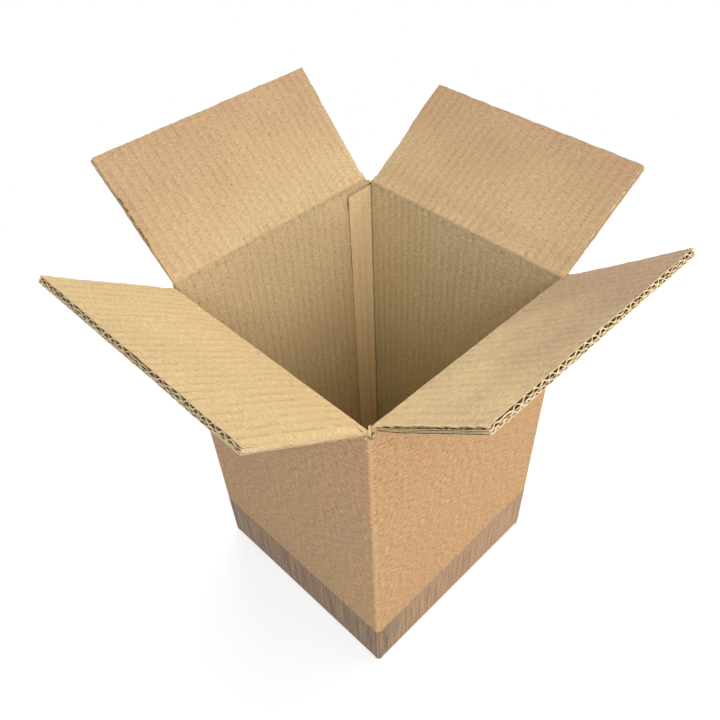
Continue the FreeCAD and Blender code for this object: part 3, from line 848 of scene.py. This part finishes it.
shreds = [
    shred((107.0, -107.4, SLOT_FLOOR - 0.4), (0.1, -0.1, 1.0), (1.0, 0.6, 0.0), 0.7, 10.5, 3.0, 501),
    shred((107.2, -108.9, SLOT_FLOOR - 0.6), (-0.3, -0.7, 0.9), (1.0, -0.1, 0.2), -0.8, 3.6, 3.0, 511),
    shred((109.0, -106.7, SLOT_FLOOR - 0.5), (0.5, 0.1, 0.9), (0.1, 1.0, 0.1), 0.6, 4.8, 3.0, 521),
    shred((-106.0, 107.2, SLOT_FLOOR - 0.2), (0.5, 0.3, 1.0), (1.0, -0.4, 0.0), 0.7, 4.6, 2.8, 541),
]
torn_bits = make_piece("torn_corner_bits", shreds, [edge_paper, edge_paper])
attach(torn_bits, "box")

# Tape round the foot. Wide brown packing tape is wrapped once round the box, low on the walls, with
# its ends lapped at the back. The film is thin and glossy and follows the ribs of the board. It was
# laid on a slight slope and stands a little higher at the back right corner.
TAPE_LOW, TAPE_HIGH, TAPE_SKIN, TAPE_FILM = 3.0, 58.0, 0.25, 0.08
TAPE_CLIMB, CLIMB_OVER = 5.0, 215.0
LAPPED_FROM, LAP = 430.0, 0.1
TAPE_RIBS, LIT_SIDE_FROM, LIT_SIDE_TO = 2.2, 106.0, 170.0
tape_film = bpy.data.materials.new("brown_packing_tape")
tree = emptied(tape_film)

# brown polypropylene film, smooth and half glossy, with fine upright ribs that the board under it prints.
# Past the front right corner it is painted lighter, painted light for the lit right side of the box
sheet_place = add_node(tree, "UVMap", uv_map="sheet")
flat = add_node(tree, "VectorMath", sheet_place, operation="SCALE", Scale=1000.0)
spot = add_node(tree, "VectorMath", flat, (1 / TAPE_RIBS, 1 / 60.0, 0.0), operation="MULTIPLY")
ribs = add_node(tree, "TexNoise", spot, noise_dimensions="2D", Scale=1.0, Detail=2.0)
speck = add_node(tree, "TexNoise", flat, noise_dimensions="2D", Scale=0.5, Detail=4.0)
both = add_node(tree, "Math", speck, 0.6, ribs, operation="MULTIPLY_ADD")
share = add_node(tree, "MapRange", both, 0.62, 0.98)
girth = add_node(tree, "SeparateXYZ", flat)
# painted light: lighter from the front right corner on round the lit right side
painted_lit_side = add_node(tree, "MapRange", girth, LIT_SIDE_FROM, LIT_SIDE_TO, -0.2, 0.34)
share = add_node(tree, "Math", share, painted_lit_side, operation="ADD", use_clamp=True)
hue = add_node(tree, "Mix", share, *TO_COLOURS, linear("#7c654e"), linear("#c59c70"), data_type="RGBA")
bump = add_node(tree, "Bump", Strength=0.7, Distance=0.0002, Height=ribs)
shader = add_node(
    tree,
    "BsdfPrincipled",
    hue.outputs[2],
    **{"Roughness": 0.5, "IOR": 1.49, "Specular IOR Level": 0.2, "Normal": bump},
)
add_node(tree, "OutputMaterial", shader)

wrap = HALF + TAPE_SKIN
tape_line = bent_line(
    [(0, wrap), (-wrap, wrap), (-wrap, -wrap), (wrap, -wrap), (wrap, wrap), (0, wrap)],
    [0.6, FOLD_RADIUS, FOLD_RADIUS, FOLD_RADIUS],
    1.6,
)
round_box = tape_line["length"]
tape_climb = TAPE_CLIMB * ease((round_box - HALF) / CLIMB_OVER) * ease((round_box[-1] - round_box) / HALF)
tape_top = TAPE_HIGH + tape_climb + 0.15 * rolling(round_box, 0.0, 60.0, 70)
tape_foot = TAPE_LOW + 0.85 * tape_climb
tape_rise = np.linspace(0, 1, 23)[:, None]
tape_height = tape_foot + tape_rise * (tape_top - tape_foot)
tape_girth = np.broadcast_to(round_box, tape_height.shape)
calm = np.clip(np.minimum(tape_height - 6, tape_top - tape_height) / 4, 0, 1)
tape_relief = 0.06 * calm * (1 + np.cos(2 * np.pi * tape_girth / SMALL_PITCH))
tape_relief = tape_relief + LAP * (tape_girth > LAPPED_FROM)
tape_face = along_line(tape_line, tape_relief, tape_height)
tape_back = along_line(tape_line, tape_relief - TAPE_FILM, tape_height)
tape_flat = np.stack([tape_girth, tape_height], -1)
band = make_piece("foot_tape", [slab(tape_face, tape_back, tape_flat, rim_slot=0)], [tape_film])
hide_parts("band_tape")
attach(band, "box")

# Seam tape. A strip of the same tape lies along the seam where the outer bottom flaps meet, on the
# underside, and holds them shut. Its own solid carries the film.
seam_film = bpy.data.materials.new("brown_packing_tape_underneath")
tree = emptied(seam_film)

# the same film, pressed on flat kraft, with a faint drawn grain along it
coordinates = add_node(tree, "TexCoord").outputs["Object"]
stretch = add_node(tree, "Mapping", coordinates, Scale=(120.0, 500.0, 120.0))
noise = add_node(tree, "TexNoise", stretch, Scale=1.0, Detail=3.0)
hue = add_node(tree, "Mix", noise, *TO_COLOURS, linear("#92765a"), linear("#b9936d"), data_type="RGBA")
bump = add_node(tree, "Bump", Strength=0.4, Distance=0.0001, Height=noise)
shader = add_node(
    tree,
    "BsdfPrincipled",
    hue.outputs[2],
    **{"Roughness": 0.5, "IOR": 1.49, "Specular IOR Level": 0.2, "Normal": bump},
)
add_node(tree, "OutputMaterial", shader)
frame["nodes"]["seam_tape"].data.materials.clear()
frame["nodes"]["seam_tape"].data.materials.append(seam_film)

# Studio: a white floor that keeps the box's soft shadow and is plain white farther off, a white
# surround and soft lamps, and the camera that looks down on the open box over its front corner.
FADE_FROM, FADE_TO, FLOOR_HALF = 0.35, 0.85, 6.0
WHITE = (1, 1, 1, 1)


def seen_directly(tree):
    """Node that is 1 for what the picture shows itself, a mirror or a glass, and 0 for lighting."""
    path = add_node(tree, "LightPath").outputs
    seen = add_node(tree, "Math", path["Is Camera Ray"], path["Is Glossy Ray"], operation="MAXIMUM")
    return add_node(tree, "Math", seen, path["Is Transmission Ray"], operation="MAXIMUM")


floor_finish = bpy.data.materials.new("studio_paper")
tree = emptied(floor_finish)
seen = seen_directly(tree)
matt = add_node(tree, "BsdfDiffuse", linear("#e9e9e8"))
shaded = add_node(tree, "BsdfDiffuse", linear("#bdbdbb"))
glow = add_node(tree, "Emission", WHITE, 0.66)
lifted = add_node(tree, "AddShader", shaded, glow)
around = add_node(tree, "TexCoord").outputs["Object"]
around = add_node(tree, "VectorMath", around, operation="LENGTH").outputs["Value"]
away = add_node(tree, "MapRange", around, FADE_FROM, FADE_TO, interpolation_type="SMOOTHSTEP")
plain = add_node(tree, "Emission", WHITE, 1.0)
lifted = add_node(tree, "MixShader", away, lifted, plain)
mixed = add_node(tree, "MixShader", seen, matt, lifted)
add_node(tree, "OutputMaterial", mixed)
floor_mesh = bpy.data.meshes.new("studio_floor")
floor_corners = [(FLOOR_HALF * x, FLOOR_HALF * y, 0) for x, y in ((-1, -1), (1, -1), (1, 1), (-1, 1))]
floor_mesh.from_pydata(floor_corners, [], [(0, 1, 2, 3)])
floor_mesh.materials.append(floor_finish)
studio_floor = bpy.data.objects.new("studio_floor", floor_mesh)
bpy.context.scene.collection.objects.link(studio_floor)

surround = bpy.data.worlds.new("studio_white")
bpy.context.scene.world = surround
tree = emptied(surround)
ambient = add_node(tree, "Background", (0.86, 0.97, 1.15, 1), 0.32)
white = add_node(tree, "Background", WHITE, 1.0)
mixed = add_node(tree, "MixShader", seen_directly(tree), ambient, white)
add_node(tree, "OutputWorld", mixed)

# round lamps about the box, each with the power in watts that gives its side its brightness
LAMP_DISTANCE, LAMP_SIZE = 2.0, 1.4
AIM = Vector((0, 0, 0.25))
for name, way, power in (
    ("back_left_softbox", (-1.0, 1.0, 1.5), 13.0),
    ("back_softbox", (0.1, 1.3, 1.2), 13.6),
    ("right_softbox", (1.0, -0.6, 0.9), 18.0),
    ("back_right_softbox", (1.0, 0.8, 1.6), 7.4),
):
    place = Vector(way).normalized() * LAMP_DISTANCE + AIM
    lamp = bpy.data.lights.new(name, "AREA")
    lamp.shape = "DISK"
    lamp.size = LAMP_SIZE
    lamp.energy = power
    stand = bpy.data.objects.new(name, lamp)
    stand.visible_camera = False
    stand.location = place
    stand.rotation_euler = (AIM - place).to_track_quat("-Z", "Y").to_euler()
    bpy.context.scene.collection.objects.link(stand)

# the camera's place and directions, fitted to the corners of the box in the photograph
EYE = Vector((0.32634, -0.31484, 0.68966))
RIGHT = Vector((0.71454, 0.69932, -0.01981))
DOWN = Vector((0.50881, -0.53890, -0.67134))
LOOK = Vector((-0.48015, 0.46962, -0.74089))
lens = bpy.data.cameras.new("camera")
lens.sensor_width = 36.0
lens.lens = 36.85
lens.shift_x = -0.0231
lens.shift_y = 0.0687
lens.clip_start = 0.01
camera = bpy.data.objects.new("camera", lens)
turned = Matrix((RIGHT, -DOWN, -LOOK)).transposed().to_4x4()
camera.matrix_world = Matrix.Translation(EYE) @ turned
bpy.context.scene.collection.objects.link(camera)
bpy.context.scene.camera = camera
bpy.context.scene.view_settings.view_transform = "Standard"

bpy.context.view_layer.update()
